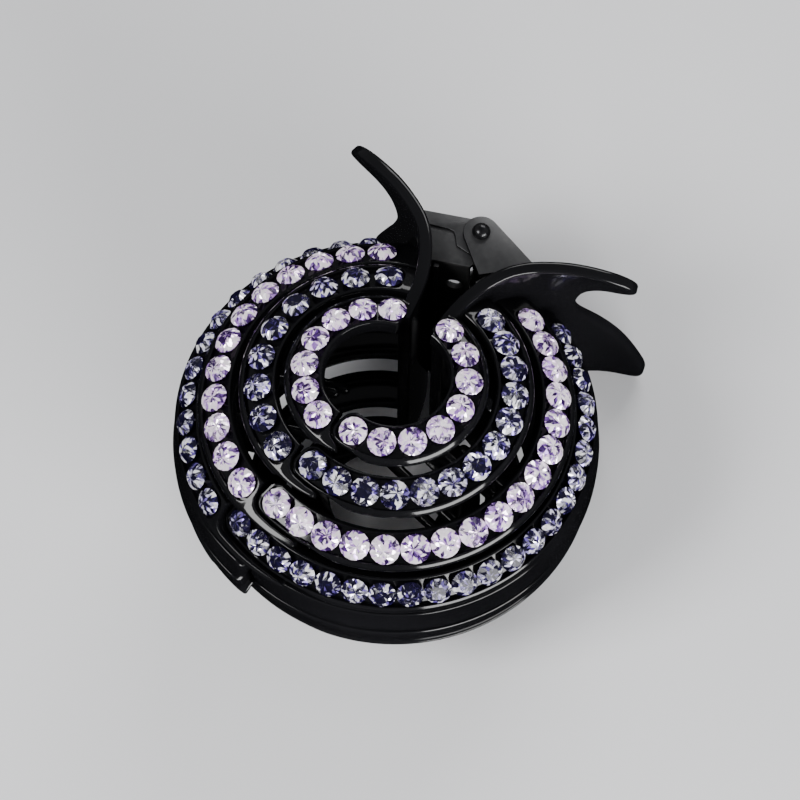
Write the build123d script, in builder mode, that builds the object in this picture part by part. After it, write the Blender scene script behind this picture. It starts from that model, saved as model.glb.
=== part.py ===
# A round two-jaw claw clip, stone-set on its upper half. Millimetres, Z along the hinge axis.
# X = 0 is the plane between the jaws, the hinge lies at +Y and the tooth tips at -Y.
from build123d import *
import os
from math import atan2, cos, degrees, hypot, radians, sin

# Ball of bands.
ball_radius = 29.4          # from the axis to the face of the widest band
ball_half_height = 22.4     # from the mid-plane to the end of the ball
band_width = 5.0
band_thick = 2.2
plain_band_width = 4.6      # the two bands at the equator
foot_flat = 0.25            # flat under the lowest rim, on which the clip stands
arc_shift_x = 2.26          # the right jaw's arcs sit this far from the left jaw's
arc_shift_y = 1.06
jaw_clearance = 0.3         # between a right tooth and the left tooth that takes it
clear_above = 4.0           # what a left tooth loses over the right tooth's tip
past_spine = 177            # degrees round its arc to which a band runs before it is trimmed
blank_margin = 5.0          # how far a blank runs past the outline that trims it
tip_round = 1.9             # rounding of a tooth's corners in plan
sliver_end_deg = 2.0        # a left tooth's outer sliver runs this far past the mid-plane
lower_sliver_deg = 12.0     # and on the plain half it stops this far before it

# Stone channels and stones.
channel_depth = 0.8
rim_width = 0.4
tip_rim = 0.5
stone_seat_gap = 0.05
stone_height = 1.75
stone_facets = 10

# Spine wall and lever.
wall_thick = 1.9
spine_inset = 1.7           # from the mid-plane to the spine's inner face
spine_root_y = 9.5
lever_span = 23.2           # from the mid-plane to the horn's end
lever_tip_y = 31.6
lever_lean = 7.0            # the lower end of the lever stands out by this
lever_top_drop = 1.2        # the lever's upper edge lies this far under the end of the ball

# Hinge.
hinge_y = 27.3
pin_radius = 0.9
pin_head_radius = 1.35
pin_head_height = 1.2
pin_fit = 0.05              # radial, round the turning ears
press_fit = 0.01            # radial, in the ears that hold the pin
ear_thick = 0.9
ear_gap = 0.1
ear_radius = 2.6
ear_level = 18.5            # from the mid-plane to the top of the left ear
bracket_seat_gap = 0.2
web_end = 7.0               # how far the bracket's web reaches along the lever
web_depth = 7.6             # from the pin towards the ball
web_hole_radius = 1.3       # in the left bracket's folded edge, for the spring's leg
web_hole_drop = 6.3         # under the ear's face
web_hole_share = 0.29       # of the way along the folded edge
spring_wire = 0.8
spring_radius = 1.85
spring_turns = 8.5          # a half turn brings both legs to the ball's side
spring_leg = 4.6

# Inner tines.
tine_radius = 0.85

# Bands of the upper half, end of the ball first: radius and height are shares of the ball's,
# tilt is the face's lean from the axis, and the stones run from the tip angle to the spine angle.
ROW = ("radius", "height", "tilt", "stone", "left_count", "right_count", "right_tip", "spine")
ROWS = [
    dict(zip(ROW, (0.347, 0.978, 14, 4.0, 7, 8, -5.0, 162.0))),
    dict(zip(ROW, (0.568, 0.853, 20, 4.1, 9, 13, -13.0, 156.0))),
    dict(zip(ROW, (0.779, 0.647, 30, 4.2, 12, 17, -16.0, 152.0))),
    dict(zip(ROW, (0.925, 0.384, 50, 3.85, 14, 22, -23.0, 148.0))),
    dict(zip(ROW, (0.997, 0.129, 82, 0.0, 0, 0, -14.0, 148.0))),
]

# Lever in plan, root first: shares of the way from the spine's inset to the lever's span, of the
# way from the root to the tip in Y, and of the lean.
PLAN = ("x", "y", "lean")
LEVER_PLAN = [
    dict(zip(PLAN, row)) for row in (
        (0.000, 0.000, 0.00),
        (0.025, 0.225, 0.00),
        (0.125, 0.515, 0.00),
        (0.245, 0.680, 0.00),
        (0.400, 0.790, 0.35),
        (0.560, 0.868, 0.80),
        (0.740, 0.930, 1.00),
        (1.130, 1.033, 1.00),
    )
]

# Each lever's outline seen from the hinge: shares of the span on the left and on the right jaw, and
# of the lever's height from its foot. The right one's lower lobe is the broader.
OUTLINE = ("left", "right", "z")
LEVER_OUTLINE = [
    dict(zip(OUTLINE, row)) for row in (
        (0.00, 0.00, 1.000),
        (0.35, 0.35, 0.998),
        (0.65, 0.65, 0.992),
        (0.85, 0.85, 0.972),
        (0.96, 0.96, 0.940),
        (1.00, 1.00, 0.905),
        (0.95, 0.95, 0.880),
        (0.80, 0.80, 0.865),
        (0.66, 0.70, 0.830),
        (0.600, 0.645, 0.770),
        (0.608, 0.625, 0.700),
        (0.645, 0.645, 0.620),
        (0.695, 0.745, 0.530),
        (0.757, 0.860, 0.430),
        (0.842, 0.960, 0.300),
        (0.925, 1.030, 0.170),
        (0.965, 1.055, 0.080),
        (0.930, 1.020, 0.020),
        (0.840, 0.920, 0.000),
    )
]

# Tines: level as a share of the ball's half height, start and end in X and Y as shares of its radius.
TINE = ("level", "x0", "y0", "x1", "y1")
TINES = [
    dict(zip(TINE, row)) for row in (
        (0.384, 0.88, -0.18, 0.28, -0.02),
        (0.129, 0.90, -0.36, 0.06, -0.12),
        (-0.129, 0.97, 0.02, 0.34, 0.18),
        (-0.384, 0.82, -0.30, 0.22, -0.14),
    )
]

# Bracket ears in plan from the pin: X to the jaw's own side, Y to the hinge.
BRACKET_PLAN = {
    1: ((-1.2, -2.3), (3.0, -6.2), (9.5, -1.0), (1.2, 2.3)),
    -1: ((-1.1, -2.4), (-1.1, -5.2), (6.0, -7.4), (11.0, -0.8), (1.0, 2.4)),
}

stone_seat = 0.85           # of a stone's height, this much lies below its girdle
first = ROWS[0]
mid_height = (ball_half_height * first["height"]
              + band_width / 2 * sin(radians(first["tilt"])) - foot_flat)
lever_top = mid_height + ball_half_height - lever_top_drop
CENTRE = {-1: (-arc_shift_x / 2, -arc_shift_y / 2), 1: (arc_shift_x / 2, arc_shift_y / 2)}
above_all = 2 * mid_height + 2 * blank_margin


def width_of(row):
    return band_width if row["stone"] else plain_band_width


def swell(row):
    """Degrees from the centre of a row's last stone to the end of its tooth."""
    reach = row["stone"] / 2 + 0.1 + tip_rim if row["stone"] else 0.0
    return degrees(reach / (row["radius"] * ball_radius))


def at(side, angle, radius):
    """Plan place on a jaw's arc, the angle counted from the tooth tips round its own side."""
    cx, cy = CENTRE[side]
    return cx + side * radius * sin(radians(angle)), cy - radius * cos(radians(angle))


def tip_angle(row, side):
    """Where a row's last stone may sit. A left one stops short of the right tooth's tip."""
    if side == 1:
        return row["right_tip"]
    radius = row["radius"] * ball_radius
    x, y = at(1, row["right_tip"] - swell(row), radius)
    cx, cy = CENTRE[-1]
    angle = degrees(atan2(-(x - cx), -(y - cy)))
    return angle + degrees((jaw_clearance + tip_rim + row["stone"] / 2) / radius)


def section(row, sign, grow=0.0, low=None, high=0.0, narrow=0.0):
    """A band's section in the XZ plane, measured from its face inwards."""
    radius = row["radius"] * ball_radius
    height = mid_height + sign * row["height"] * ball_half_height
    tilt = radians(row["tilt"])
    along = (cos(tilt), -sign * sin(tilt))
    out = (sin(tilt), sign * cos(tilt))
    half = width_of(row) / 2 + grow - narrow
    low = band_thick + grow if low is None else low
    corners = ((-half, high), (half, high), (half, -low), (-half, -low))
    return [(radius + a * along[0] + h * out[0], height + a * along[1] + h * out[1])
            for a, h in corners]


def ring(row, sign, side, **sizes):
    cx, cy = CENTRE[side]
    with BuildPart() as made:
        with BuildSketch(Plane((cx, cy, 0), x_dir=(1, 0, 0), z_dir=(0, -1, 0))):
            with BuildLine():
                Polyline(*section(row, sign, **sizes), close=True)
            make_face()
        revolve(axis=Axis((cx, cy, 0), (0, 0, 1)))
    return made.part


def sector(row, side, start, end, grow, corner):
    """Everything over a slice of a band's arc, rounded in plan at its tip end."""
    radius = row["radius"] * ball_radius
    half = (width_of(row) / 2) * cos(radians(row["tilt"])) + grow
    deep = band_thick * sin(radians(row["tilt"]))
    inner = radius - half - deep
    outer = radius + half
    middle = (start + end) / 2
    with BuildPart() as made:
        with BuildSketch() as plan:
            with BuildLine():
                ThreePointArc(at(side, start, outer), at(side, middle, outer), at(side, end, outer))
                Line(at(side, end, outer), at(side, end, inner))
                ThreePointArc(at(side, end, inner), at(side, middle, inner), at(side, start, inner))
                Line(at(side, start, inner), at(side, start, outer))
            make_face()
            if corner:
                tips = [v for v in plan.vertices()
                        if min(hypot(v.X - p[0], v.Y - p[1]) for p in
                               (at(side, start, outer), at(side, start, inner))) < 0.01]
                fillet(tips, min(corner, 0.45 * (outer - inner)))
        extrude(amount=above_all)
    return made.part


def tooth(row, sign, side, grow=0.0):
    """One band from its tip to past the spine, or the swollen space that a right tooth takes."""
    radius = row["radius"] * ball_radius
    if side == 1:
        start = row["right_tip"] - swell(row) - degrees(grow / radius)
        whole = ring(row, sign, 1, grow=grow, high=grow and clear_above)
        slice_of_arc = sector(row, 1, start, past_spine, grow, tip_round)
    else:
        start = -sliver_end_deg if sign == 1 else lower_sliver_deg
        whole = ring(row, sign, -1)
        slice_of_arc = sector(row, -1, start, past_spine, 0, 0)
    with BuildPart() as made:
        add(whole)
        add(slice_of_arc, mode=Mode.INTERSECT)
    return made.part


def channel(row, side):
    radius = row["radius"] * ball_radius
    reach = degrees((row["stone"] / 2 + 0.1) / radius)
    start = tip_angle(row, side) - reach
    end = row["spine"] + reach
    groove = ring(row, 1, side, low=channel_depth, high=1.0, narrow=rim_width)
    half = (width_of(row) / 2 - rim_width) * cos(radians(row["tilt"]))
    outer = radius + half + sin(radians(row["tilt"]))
    inner = radius - half - channel_depth
    middle = (start + end) / 2
    with BuildPart() as made:
        with BuildSketch() as plan:
            with BuildLine():
                ThreePointArc(at(side, start, outer), at(side, middle, outer), at(side, end, outer))
                Line(at(side, end, outer), at(side, end, inner))
                ThreePointArc(at(side, end, inner), at(side, middle, inner), at(side, start, inner))
                Line(at(side, start, inner), at(side, start, outer))
            make_face()
            fillet(plan.vertices(), tip_round - tip_rim)
        extrude(amount=above_all)
        add(groove, mode=Mode.INTERSECT)
    return made.part


def lever_points(side, level, offset):
    """The lever's plan curve at a level, moved off its inner face by an offset."""
    lean = lever_lean * (1 - level / lever_top)
    base = []
    for p in LEVER_PLAN:
        x = spine_inset + p["x"] * (lever_span - spine_inset)
        y = spine_root_y + p["y"] * (lever_tip_y - spine_root_y) + p["lean"] * lean
        base.append((x, y))
    points = []
    for i, (x, y) in enumerate(base):
        x0, y0 = base[max(i - 1, 0)]
        x1, y1 = base[min(i + 1, len(base) - 1)]
        run = hypot(x1 - x0, y1 - y0)
        points.append((side * (x + offset * (y1 - y0) / run), y - offset * (x1 - x0) / run))
    return points


def wall_face(side, level, near, far):
    """Plan face between two offsets of the lever's inner curve."""
    a = lever_points(side, level, near)
    b = lever_points(side, level, far)
    with BuildSketch(Plane.XY.offset(level)) as made:
        with BuildLine():
            Spline(*a)
            Line(a[-1], b[-1])
            Spline(*b[::-1])
            Line(b[0], a[0])
        make_face()
    return made.sketch


def far_side(side, level):
    """Plan face of all that lies on the hinge side of the lever."""
    a = lever_points(side, level, 0.0)
    with BuildSketch(Plane.XY.offset(level)) as made:
        with BuildLine():
            Spline(*a)
            Polyline(a[-1], (a[-1][0], 90), (-side * 60, 90), (-side * 60, a[0][1]), a[0])
        make_face()
    return made.sketch


def lever(side):
    """Spine wall and lever in one: a leaning curved wall, cut to the outline seen from the hinge."""
    edge = [(side * p["left" if side == -1 else "right"] * lever_span, p["z"] * lever_top)
            for p in LEVER_OUTLINE]
    low_end = wall_face(side, -blank_margin, 0.0, wall_thick)
    high_end = wall_face(side, above_all, 0.0, wall_thick)
    with BuildPart() as made:
        add([low_end, high_end])
        loft(ruled=True)
        with BuildSketch(Plane.XZ.offset(-above_all)):
            with BuildLine():
                Spline(*edge)
                Polyline(edge[-1], (0, 0), edge[0])
            make_face()
        extrude(amount=2 * above_all, mode=Mode.INTERSECT)
    return made.part


def beyond(side):
    """All that lies on the hinge side of the lever, which the bands don't reach."""
    low_end = far_side(side, -blank_margin)
    high_end = far_side(side, above_all)
    with BuildPart() as made:
        add([low_end, high_end])
        loft(ruled=True)
    return made.part


def rod(side, t):
    radius = ball_radius
    z = mid_height + t["level"] * ball_half_height
    a = Vector(side * t["x0"] * radius, t["y0"] * radius, z)
    b = Vector(side * t["x1"] * radius, t["y1"] * radius, z)
    with BuildPart() as made:
        with BuildSketch(Plane(a, z_dir=b - a)):
            Circle(tine_radius)
        extrude(amount=(b - a).length)
        with Locations(b):
            Sphere(tine_radius)
    return made.part


def teeth(side):
    """All the bands of one jaw. The left ones are cut to take the right ones' tips."""
    bands = []
    for row in ROWS:
        for sign in (1, -1):
            whole = tooth(row, sign, side)
            cuts = []
            if side == -1:
                cuts.append(tooth(row, sign, 1, grow=jaw_clearance))
            if sign == 1 and row["stone"]:
                cuts.append(channel(row, side))
            with BuildPart() as band:
                add(whole)
                if cuts:
                    add(cuts, mode=Mode.SUBTRACT)
            bands.append(band.part)
    return bands


def stone_solid(size):
    """A cut stone: octagon-sided table above the girdle, a short pavilion below."""
    radius = size / 2 - 0.02
    levels = ((-stone_seat, 0.42), (0.0, 1.0), (0.12, 1.0), (stone_height - stone_seat, 0.56))
    with BuildPart() as made:
        for height, share in levels:
            with BuildSketch(Plane.XY.offset(height)):
                RegularPolygon(radius * share, stone_facets)
        loft(ruled=True)
    return made.part


def stone_places(row, side, count):
    """One row of stones along a jaw's channel, evenly spaced from the tip to the spine."""
    radius = row["radius"] * ball_radius
    height = mid_height + row["height"] * ball_half_height
    start = tip_angle(row, side)
    cx, cy = CENTRE[side]
    tilt = radians(row["tilt"])
    lift = stone_seat + stone_seat_gap - channel_depth
    places = []
    for i in range(count):
        angle = start + (row["spine"] - start) * i / (count - 1)
        x, y = at(side, angle, radius)
        ux, uy = (x - cx) / radius, (y - cy) / radius
        normal = Vector(ux * sin(tilt), uy * sin(tilt), cos(tilt))
        places.append(Plane(Vector(x, y, height) + normal * lift, x_dir=(-uy, ux, 0), z_dir=normal))
    return places


def ball_side(side, level, offset):
    """All that lies on the ball's side of a curve moved off the lever's inner face."""
    a = lever_points(side, level, offset)
    with BuildPart() as made:
        with BuildSketch():
            with BuildLine():
                Spline(*a)
                Polyline(a[-1], (side * 60, a[-1][1]), (side * 60, -20), (a[0][0], -20), a[0])
            make_face()
        extrude(amount=above_all)
    return made.part


def ear(side, base):
    """One flat ear of a bracket, cut where it meets the lever."""
    seat = ball_side(side, base, -bracket_seat_gap)
    with BuildPart() as made:
        with BuildSketch(Plane.XY.offset(base)):
            with BuildLine():
                Polyline(*[(side * x, hinge_y + y) for x, y in BRACKET_PLAN[side]], close=True)
            make_face()
            with Locations((0, hinge_y)):
                Circle(ear_radius)
        extrude(amount=ear_thick)
        add(seat, mode=Mode.SUBTRACT)
    return made.part


def web(side, level):
    """The bracket's upright sheet, which follows the lever's inner face."""
    behind = ball_side(side, mid_height, -bracket_seat_gap - ear_thick)
    seat = ball_side(side, mid_height, -bracket_seat_gap)
    with BuildPart() as made:
        with Locations((side * web_end / 2, hinge_y - web_depth / 2, mid_height)):
            Box(web_end, web_depth, 2 * level)
        add(behind, mode=Mode.INTERSECT)
        add(seat, mode=Mode.SUBTRACT)
    return made.part


def folded_edge(side, level):
    """The sheet folded down along the ear's edge towards the ball, with a hole for the spring's leg."""
    corners = [Vector(side * x, hinge_y + y) for x, y in BRACKET_PLAN[side][1:3]]
    run = corners[1] - corners[0]
    back = Vector(side * run.Y, -side * run.X).normalized() * -ear_thick
    seat = ball_side(side, mid_height, -bracket_seat_gap)
    hole = corners[0] + run * web_hole_share + Vector(0, 0, mid_height + level - web_hole_drop)
    with BuildPart() as made:
        with BuildSketch(Plane.XY.offset(mid_height - level)):
            with BuildLine():
                Polyline(corners[0], corners[1], corners[1] + back, corners[0] + back, close=True)
            make_face()
        extrude(amount=2 * level)
        with Locations(Plane(hole, z_dir=back)):
            Cylinder(web_hole_radius, 4 * ear_thick, mode=Mode.SUBTRACT)
        add(seat, mode=Mode.SUBTRACT)
    return made.part


# Jaws, each moulded in one: bands, spine wall, lever and tines.
os.makedirs("parts", exist_ok=True)
for side, word in ((-1, "left"), (1, "right")):
    bands = teeth(side)
    outside = beyond(side)
    wall = lever(side)
    rods = [rod(side, t) for t in TINES]
    with BuildPart() as one_jaw:
        add(bands)
        add(outside, mode=Mode.SUBTRACT)
        add(wall)
        add(rods)
        with Locations((0, 0, -above_all / 2)):
            Box(4 * above_all, 4 * above_all, above_all, mode=Mode.SUBTRACT)
    one_jaw.part.label = word + "_jaw"
    export_step(one_jaw.part, "parts/" + word + "_jaw.step")

    # Cut stones, one node for each row of this jaw.
    for number, row in enumerate(ROWS, 1):
        if not row["stone"]:
            continue
        one = stone_solid(row["stone"])
        places = stone_places(row, side, row[word + "_count"])
        with BuildPart() as stones:
            with Locations(*places):
                add(one)
        stones.part.label = word + "_stones_row_" + str(number)
        export_step(stones.part, "parts/" + stones.part.label + ".step")

    # Sheet metal bracket: two ears joined by a web, bored for the pin.
    level = ear_level if side == -1 else ear_level + ear_thick + ear_gap
    bore = pin_radius + (press_fit if side == -1 else pin_fit)
    sheets = [web(side, level), ear(side, mid_height + level - ear_thick), ear(side, mid_height - level)]
    if side == -1:
        sheets.append(folded_edge(side, level))
    with BuildPart() as one_bracket:
        add(sheets)
        with Locations((0, hinge_y, mid_height)):
            Cylinder(bore, 4 * mid_height, mode=Mode.SUBTRACT)
    one_bracket.part.label = word + "_bracket"
    export_step(one_bracket.part, "parts/" + word + "_bracket.step")

# Rivet through all four ears, with a domed head at each end.
reach = ear_level + ear_thick + 2 * ear_gap
with BuildPart() as hinge_pin:
    with Locations((0, hinge_y, mid_height)):
        Cylinder(pin_radius, 2 * reach + pin_head_height)
    with Locations((0, hinge_y, mid_height + reach + pin_head_height / 2),
                   (0, hinge_y, mid_height - reach - pin_head_height / 2)):
        Cylinder(pin_head_radius, pin_head_height)
    rims = hinge_pin.edges().filter_by(GeomType.CIRCLE).sort_by(Axis.Z)
    fillet([rims[0], rims[-1]], 0.8 * pin_head_height)
hinge_pin.part.label = "hinge_pin"
export_step(hinge_pin.part, "parts/hinge_pin.step")

# Closed coil round the pin, with a straight leg at each end, clear of the moving bracket.
pitch = spring_wire * 1.3
coil_height = pitch * spring_turns
helix = Helix(pitch, coil_height, spring_radius, center=(0, hinge_y, mid_height - coil_height / 2))
wire = Circle(spring_wire / 2)
coil = sweep(Plane(helix @ 0, z_dir=helix % 0) * wire, path=helix, is_frenet=True)
leg_planes = [Plane(point - run * 0.02, z_dir=run)
              for point, run in ((helix @ 0, -(helix % 0)), (helix @ 1, helix % 1))]
legs = [extrude(plane * wire, amount=spring_leg) for plane in leg_planes]
with BuildPart() as torsion_spring:
    add(coil)
    add(legs)
torsion_spring.part.label = "torsion_spring"
export_step(torsion_spring.part, "parts/torsion_spring.step")
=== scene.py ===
# A round two-jaw claw hair clip in glossy black plastic, set with rows of lilac and violet stones
# on its upper half, with dark metal hinge brackets, a rivet and a coil spring. Metres, Z along the hinge.
import math

import bmesh
import bpy
import numpy as np
from mathutils import Matrix, Vector
from mathutils.geometry import delaunay_2d_cdt


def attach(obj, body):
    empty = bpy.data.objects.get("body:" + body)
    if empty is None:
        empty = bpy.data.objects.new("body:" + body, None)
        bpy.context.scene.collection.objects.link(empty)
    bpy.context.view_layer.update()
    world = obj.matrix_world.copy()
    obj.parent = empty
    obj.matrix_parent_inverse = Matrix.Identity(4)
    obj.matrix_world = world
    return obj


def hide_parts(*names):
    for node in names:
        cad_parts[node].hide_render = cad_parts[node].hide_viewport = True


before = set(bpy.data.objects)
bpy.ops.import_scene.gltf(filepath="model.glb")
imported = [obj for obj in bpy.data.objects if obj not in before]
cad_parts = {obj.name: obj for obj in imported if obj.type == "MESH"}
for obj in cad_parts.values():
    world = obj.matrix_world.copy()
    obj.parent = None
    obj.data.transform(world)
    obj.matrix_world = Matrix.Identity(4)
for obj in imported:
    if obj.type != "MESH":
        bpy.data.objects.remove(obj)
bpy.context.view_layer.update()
MM = 0.001

# ---------------------------------------------------------------------------------------------
# Studio. The clip stands on one end on a plain pale floor, under large soft lights, and is seen
# from high over the tooth tips. A long low softbox on the right draws the crescents on the rims.
AIM = Vector((-1.13, -0.53, 44.96)) * MM
AZIMUTH, ELEVATION, DISTANCE = math.radians(29.7), math.radians(64.5), 0.400
FRAME_PX, PX_PER_MM = 800, 7.25
SHIFT_PX = (22.5, -28.0)    # from the middle of the frame to the point aimed at
SENSOR_MM = 36.0


def linked(name, data):
    """An object of this data, in the scene."""
    made = bpy.data.objects.new(name, data)
    bpy.context.scene.collection.objects.link(made)
    return made


camera = linked("camera", bpy.data.cameras.new("camera"))
bpy.context.scene.camera = camera
towards_camera = Vector((math.sin(AZIMUTH) * math.cos(ELEVATION),
                         -math.cos(AZIMUTH) * math.cos(ELEVATION), math.sin(ELEVATION)))
camera.location = AIM + towards_camera * DISTANCE
camera.rotation_euler = (-towards_camera).to_track_quat("-Z", "Y").to_euler()
camera.data.sensor_width = SENSOR_MM
camera.data.lens = SENSOR_MM * DISTANCE / (FRAME_PX / PX_PER_MM * MM)
camera.data.shift_x, camera.data.shift_y = (px / FRAME_PX for px in SHIFT_PX)
camera.data.clip_start = 0.01
camera.data.clip_end = 10.0


class Socket:
    """An output socket that adds Math nodes when it takes part in an expression."""

    def __init__(self, tree, output):
        self.tree = tree
        self.output = output

    def node(self, kind, settings=None, inputs=None, output=0):
        """Adds a node: its settings first, then the values or links of its sockets. Gives the output
        of this name or number, or a list of them for a tuple of names."""
        made = self.tree.nodes.new(kind)
        for name, value in (settings or {}).items():
            if name == "stops":
                ramp = made.color_ramp
                while len(ramp.elements) < len(value):
                    ramp.elements.new(1.0)
                for stop, (place, colour) in zip(ramp.elements, value):
                    stop.position = place
                    stop.color = (*colour, 1.0)
            else:
                setattr(made, name, value)
        for name, value in (inputs or {}).items():
            if isinstance(value, Socket):
                self.tree.links.new(value.output, made.inputs[name])
            else:
                made.inputs[name].default_value = value
        if isinstance(output, tuple):
            return [Socket(self.tree, made.outputs[key]) for key in output]
        return Socket(self.tree, made.outputs[output])

    def maths(self, operation, *values):
        return self.node("ShaderNodeMath", {"operation": operation}, dict(enumerate(values)))

    def __add__(self, other):
        return self.maths("ADD", self, other)

    def __sub__(self, other):
        return self.maths("SUBTRACT", self, other)

    def __mul__(self, other):
        return self.maths("MULTIPLY", self, other)

    def __truediv__(self, other):
        return self.maths("DIVIDE", self, other)

    def __rsub__(self, other):
        return self.maths("SUBTRACT", other, self)

    def __neg__(self):
        return self.maths("MULTIPLY", self, -1.0)

    __radd__ = __add__
    __rmul__ = __mul__


def finish_of(name, constants, build):
    """A material whose shader takes its constants here and its varying inputs from build()."""
    material = bpy.data.materials.new(name)
    material.use_nodes = True
    tree = material.node_tree
    shader = tree.nodes["Principled BSDF"]
    for key, value in constants.items():
        shader.inputs[key].default_value = value
    at = Socket(tree, tree.nodes.new("ShaderNodeTexCoord").outputs["Object"])
    for key, link in build(at).items():
        tree.links.new(link.output, shader.inputs[key])
    return material


def noise(at, scale, detail):
    return at.node("ShaderNodeTexNoise", None, {"Vector": at, "Scale": scale, "Detail": detail}, "Fac")


def shades(amount, *stops):
    return amount.node("ShaderNodeValToRGB", {"stops": stops}, {"Fac": amount})


def relief(height, strength, distance):
    return height.node("ShaderNodeBump", None, {"Strength": strength, "Distance": distance, "Height": height})


def pale_card(at):
    return {"Base Color": shades(noise(at, 9.0, 3.0), (0.3, (0.80, 0.80, 0.815)), (0.7, (0.84, 0.84, 0.85)))}


FLOOR_REACH, FLOOR_LEVEL = 3.0, -0.0002
floor_mesh = bpy.data.meshes.new("floor")
floor_mesh.from_pydata([(x * FLOOR_REACH, y * FLOOR_REACH, FLOOR_LEVEL)
                        for x, y in ((-1, -1), (1, -1), (1, 1), (-1, 1))], [], [(0, 1, 2, 3)])
floor = linked("floor", floor_mesh)
floor_mesh.materials.append(finish_of("pale_floor", {"Roughness": 0.7}, pale_card))
floor.visible_glossy = False       # keeps the floor's glare off the black plastic

world = bpy.data.worlds.new("studio")
bpy.context.scene.world = world
world.use_nodes = True
sky = world.node_tree.nodes["Background"]
sky.inputs["Strength"].default_value = 0.22
# pale over the horizon and black under it, which only reflections that miss the floor can see
direction = Socket(world.node_tree, world.node_tree.nodes.new("ShaderNodeTexCoord").outputs["Generated"])
rise = direction.node("ShaderNodeSeparateXYZ", None, {"Vector": direction}, "Z")
tone = shades(rise, (0.0, (0.03, 0.03, 0.033)), (0.06, (0.92, 0.94, 1.0)))
world.node_tree.links.new(tone.output, sky.inputs["Color"])


def softbox(name, place, aim, width, depth, watts):
    lamp = linked(name, bpy.data.lights.new(name, "AREA"))
    lamp.data.shape = "RECTANGLE"
    lamp.data.size = width
    lamp.data.size_y = depth
    lamp.data.energy = watts
    lamp.location = place
    lamp.rotation_euler = (Vector(place) - Vector(aim)).to_track_quat("Z", "Y").to_euler()


softbox("key_softbox", (-0.32, -0.46, 0.62), (0, 0, 0.02), 0.30, 0.30, 5.5)
softbox("side_softbox", (0.552, -0.281, 0.17), (0, 0, 0.03), 0.50, 0.24, 8.0)
softbox("rear_softbox", (-0.10, 0.60, 0.50), (0, 0, 0.03), 0.45, 0.25, 2.5)

# ---------------------------------------------------------------------------------------------
# Toothed bands. Each jaw is one moulding in polished black plastic: ten curved teeth that make a
# ball, the upper four with a sunk channel between two thin rims in which the stones are glued.
BALL_RADIUS = 29.4
BALL_HALF_HEIGHT = 22.4
MID_HEIGHT = 22.2629
BAND_THICK = 2.2
ARC_CENTRE = {-1: (-1.13, -0.53), 1: (1.13, 0.53)}
JAW_CLEARANCE = 0.3
TIP_ROUND = 1.9
RIM_WIDTH = 0.4
TIP_RIM = 0.5
CHANNEL_DEPTH = 0.8
EDGE_ROUND = 0.22
OUTER_ROUND = 0.28          # the outer rim's slope, across the band
OUTER_BULGE = 0.64          # by which the outer side swells under the rim
RIM_NORMAL = 42.0           # degrees above the level that the slope faces, whatever the band's tilt
RIM_STEEPEST = 84.0
EDGE_NORMAL = 50.0          # the same for a band's plain edges
RIM_CROWN = (8, 3, -3, -8)                  # degrees by which the slope's flats turn
RIM_TURN = (0.75, 0.5, 0.25, 0.05)          # shares of its normal, down into the side
SWELL_DEGREES = 12.0        # past the mid-plane, over which a right tooth's swell grows
BACK_ROUND = 0.35
EDGE_MOST = 0.45            # of half a band's width, which an edge's round may take
PLAIN_END_ROUND = 1.1       # a left plain band's end, rounded off through its thickness
STONE_ROOM = 0.1            # between the last stone of a row and the channel's end
LIP_ROUND = 0.1             # the channel's edges
CHANNEL_STEP = 0.02         # mm along the band in which its floor drops
STATION = 0.55              # mm along a band from one section to the next
STATION_APART = 0.18        # at least, from a section that a round or the channel asks for
STATION_LEAST = 0.2         # where the wall cuts the band on a slant
STATION_LAST = 0.3          # before the wall
BAND_END = 100.0, 176.0     # degrees between which the bands meet the wall
# radius and height as shares of the ball, tilt in degrees, sizes in mm, stones on each jaw, and
# degrees from the mid-plane to the right tip's stone and to the last stone at the spine
ROW_COLUMNS = ("radius", "height", "tilt", "width", "stone", "left", "right", "right_tip", "spine")
ROWS = [dict(zip(ROW_COLUMNS, row)) for row in (
    (0.347, 0.978, 14, 5.0, 4.0, 7, 8, -5.0, 162.0),
    (0.568, 0.853, 20, 5.0, 4.1, 9, 13, -13.0, 156.0),
    (0.779, 0.647, 30, 5.0, 4.2, 12, 17, -16.0, 152.0),
    (0.925, 0.384, 50, 5.0, 3.85, 14, 22, -23.0, 148.0),
    (0.997, 0.129, 82, 4.6, 0.0, 0, 0, -14.0, 148.0),
)]
SLIVER_START = {1: -2.0, -1: 12.0}      # where a left tooth's sliver may begin, stone half and plain half
SLIVER_ROUND = {1: 0.5, -1: 1.4}        # mm over which its end is rounded
SLIVER_OUTER = {1: 0.0, -1: 0.8}        # and the outer side's share of that
SLIVER_LEAST = 0.25                     # its least width
SLIVER_BLUNT = 0.02                     # keeps its end from closing to nothing
WORDS = {-1: "left", 1: "right"}


def black_plastic(at):
    """Polished black moulding: faint flow marks, fine orange peel and handling haze."""
    flow = noise(at, 45.0, 4.0)
    haze = noise(at, 260.0, 5.0)
    peel = noise(at, 700.0, 2.0)
    return {
        "Base Color": shades(flow, (0.30, (0.0028, 0.0028, 0.0033)), (0.70, (0.0062, 0.0062, 0.0072))),
        "Roughness": 0.055 + haze * 0.07 + flow * 0.03,
        "Normal": relief(peel, 0.05, 0.0001),
    }


plastic = finish_of("black_plastic", {"IOR": 1.46, "Specular IOR Level": 0.30}, black_plastic)

# The lever's curve in plan, which the bands end against.
WALL_THICK = 1.9
SPINE_INSET = 1.7
SPINE_ROOT_Y = 9.5
LEVER_SPAN = 23.2
LEVER_TIP_Y = 31.6
LEVER_LEAN = 7.0
LEVER_DROP = 1.2            # from the ball's top
LEVER_TOP = MID_HEIGHT + BALL_HALF_HEIGHT - LEVER_DROP
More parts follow.
